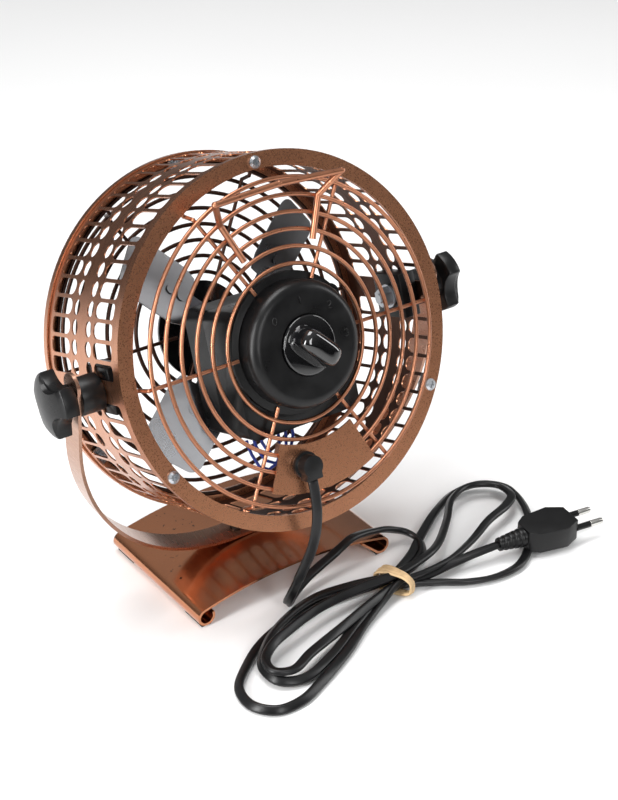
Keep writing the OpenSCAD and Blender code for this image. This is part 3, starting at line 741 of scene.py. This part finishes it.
# In to the tie, the three left loops and the two right ones, then out to the plug
HANK = [(-85.5, 52.5, 5.4), (-81.5, 62, 4.4), (-71, 70, 5), (-60, 76, 7.5), (-46, 79, 9.5),
        (-22, 72, 9), (4, 69, 9), (30, 76, 8.5), (49, 87, 8), (61, 100, 6), (60, 114, 4.5),
        (47, 120, 3.5), (22, 112, 3.5), (-6, 97, 3.5), (-30, 86, 3.5), (-46, 82, 4),
        (-70, 92, 3), (-84, 101, 2.5), (-102, 107, 2), (-120, 106, 2), (-135, 97, 2),
        (-152, 80, 2.5), (-164, 60, 4.5), (-167, 41, 6), (-157, 26, 5), (-139, 23, 4),
        (-117, 32, 4), (-92, 48, 4.5), (-70, 64, 5), (-46, 74, 5),
        (-20, 71, 3.5), (14, 70, 2.5), (46, 79, 2.5), (66, 92, 2), (80, 106, 2), (82, 122, 2),
        (73, 133, 2), (58, 134, 2), (40, 127, 2), (12, 113, 2), (-12, 98, 2.5), (-32, 89, 5),
        (-46, 85, 9), (-62, 86, 9), (-86, 83, 8), (-108, 76, 8.5), (-130, 66, 9.5), (-149, 60, 10),
        (-160.5, 51.5, 9), (-161, 38, 8.5), (-146, 28.5, 9), (-127, 34, 9.5), (-108, 52, 10),
        (-84, 71, 10.5), (-62, 78, 11), (-46, 81, 12),
        (-22, 80, 12), (8, 81, 11.5), (34, 87.5, 11), (50, 93.5, 10.5), (60, 102.5, 10),
        (60.5, 111.5, 9.5), (51.5, 116, 9),
        (34, 108.5, 8), (6, 99, 7), (-22, 90, 7), (-46, 84, 6.5),
        (-66, 85.5, 6), (-84, 86.8, 7.8), (-100, 89, 9.8), (-116.4, 91.1, 10.9)]


def cord_outline():
    """Two joined round cores, seen along the cord."""
    r, gap = CORD_HIGH / 2, (CORD_WIDE - CORD_HIGH) / 2
    out = []
    for side, first in ((1, -70), (-1, 110)):
        for k in range(8):
            a = math.radians(first + 20 * k)
            out.append((side * gap + r * math.cos(a), r * math.sin(a)))
        out.append((0, side * r * 0.8))
    return out


TIE_LEAN = math.radians(19)
TIE_BOTTOM = 1.0 * MM


def make_ties():
    """A soft band wound three times round the strands, each wind twisted a little."""
    lo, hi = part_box("cord_tie")
    mid = Vector(((lo[0] + hi[0]) / 2, (lo[1] + hi[1]) / 2, 0))
    across = Vector((-math.sin(TIE_LEAN), math.cos(TIE_LEAN), 0))
    along = Vector((math.cos(TIE_LEAN), math.sin(TIE_LEAN), 0))
    high = hi[2] - 0.9 * MM
    outline = [(1.5 * MM * math.cos(b), 0.8 * MM * math.sin(b) * (1 + 0.25 * math.cos(6 * b)))
               for b in (2 * math.pi * k / 28 for k in range(28))]
    made = []
    for number, (shift, skew, wide) in enumerate(((-2.2, 0.10, 11.9), (0.1, -0.05, 12.2),
                                                  (2.3, -0.14, 11.8))):
        path = []
        for k in range(96):
            a = 2 * math.pi * k / 96
            c, t = math.cos(a), math.sin(a)
            u = (wide * MM) * math.copysign(abs(c) ** 0.75, c)
            rise = 0.5 + 0.5 * math.copysign(abs(t) ** 0.7, t)
            z = TIE_BOTTOM + (high - TIE_BOTTOM) * rise
            path.append(mid + across * u + along * (shift * MM + skew * u) + Vector((0, 0, z)))
        centre = sum(path, Vector()) / len(path)

        def wide_way(i):
            out = (path[i] - centre).normalized()
            return Matrix.Rotation(0.35 * math.sin(i * 0.39 + number * 2), 3, out) @ along

        obj = sweep("fine_tie_%d" % number, path, outline, wide_way, closed=True)
        made.append(finish_piece(obj, "base", mats["tie_fabric"], "tie_fabric", "cord_tie"))
    return made


ties = make_ties()


def make_cord():
    """The flat cord's mesh, and the path that it follows."""
    points = [Vector(p) * MM for p in LEAD + HANK]
    path = even(catmull(points, 10), 2.2 * MM)
    for p in path:
        p.z = max(p.z, LOWEST)
    count = len(path)
    # The first points hang free from the gland
    start = sum(1 for p in path if p.z > 30 * MM)

    def wide(i):
        way = (path[min(i + 1, count - 1)] - path[max(i - 1, 0)]).normalized()
        flat = way.cross(Vector((0, 0, 1)))
        if i < start:
            lean = Vector((-0.8, 0.6, 0))
            t = min(1, max(0, (path[i].z - 0.01) / 0.03))
            flat = flat.normalized().lerp(lean, t)
        roll = 0.9 * math.sin(i * 0.045) * min(1, i / 60)
        return Matrix.Rotation(roll, 3, way) @ flat.normalized()

    return sweep("mains_cord", path, cord_outline(), wide), path


cord, cord_path = make_cord()
cord.data.materials.append(mats["cord_black"])
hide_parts("cord_lead", "cord_hank")


# ---------------------------------------------------------------- floor and light
def make_stage():
    size = 6.0
    corners = [(-size, -size, 0), (size, -size, 0), (size, size, 0), (-size, size, 0)]
    floor = add_mesh("floor", corners, [(0, 1, 2, 3)])
    floor.location.z = -0.0002
    n = Nodes("floor_paint")
    soft = n.noise(n.coords(), 3, 2, 0.5)
    n.set(Base_Color=n.mix(n.mapped(soft, 0, 1), (0.86, 0.86, 0.86), (0.90, 0.90, 0.90)),
          Roughness=0.6, Specular_IOR_Level=0.2)
    floor.data.materials.append(n.material)
    world = bpy.data.worlds.new("studio")
    bpy.context.scene.world = world
    world.use_nodes = True
    tree = world.node_tree
    ground = tree.nodes["Background"]
    # A grey room for the object to mirror, dark below and light above
    spot = tree.nodes.new("ShaderNodeTexCoord").outputs["Generated"]
    split = tree.nodes.new("ShaderNodeSeparateXYZ")
    tree.links.new(spot, split.inputs[0])
    shade = tree.nodes.new("ShaderNodeValToRGB")
    stops = ((0.02, 0.05), (0.85, 0.62))
    for element, (at, grey) in zip(shade.color_ramp.elements, stops):
        element.position = at
        element.color = (grey, grey, grey, 1)
    tree.links.new(split.outputs["Z"], shade.inputs["Fac"])
    tree.links.new(shade.outputs["Color"], ground.inputs["Color"])
    ground.inputs["Strength"].default_value = 0.75
    bpy.context.scene.view_settings.view_transform = "Standard"
    bpy.context.scene.view_settings.look = "None"

    aim = Vector((0, 0, 0.12))

    def area(name, spot, size, power):
        light = bpy.data.objects.new(name, bpy.data.lights.new(name, "AREA"))
        light.data.shape = "RECTANGLE"
        light.data.size, light.data.size_y = size
        light.data.energy = power
        light.data.spread = math.radians(180)
        light.location = spot
        light.rotation_euler = (aim - Vector(spot)).to_track_quat("-Z", "Y").to_euler()
        bpy.context.scene.collection.objects.link(light)

    area("left", (1.5, 0.25, 0.7), (0.3, 1.3), 30)
    area("behind", (0.25, 1.7, 1.0), (0.5, 0.9), 12)
    area("right", (-1.6, 0.7, 0.7), (0.35, 1.2), 10)
    area("top", (0.1, -0.2, 1.7), (1.1, 0.8), 22)


make_stage()

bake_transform(cord)
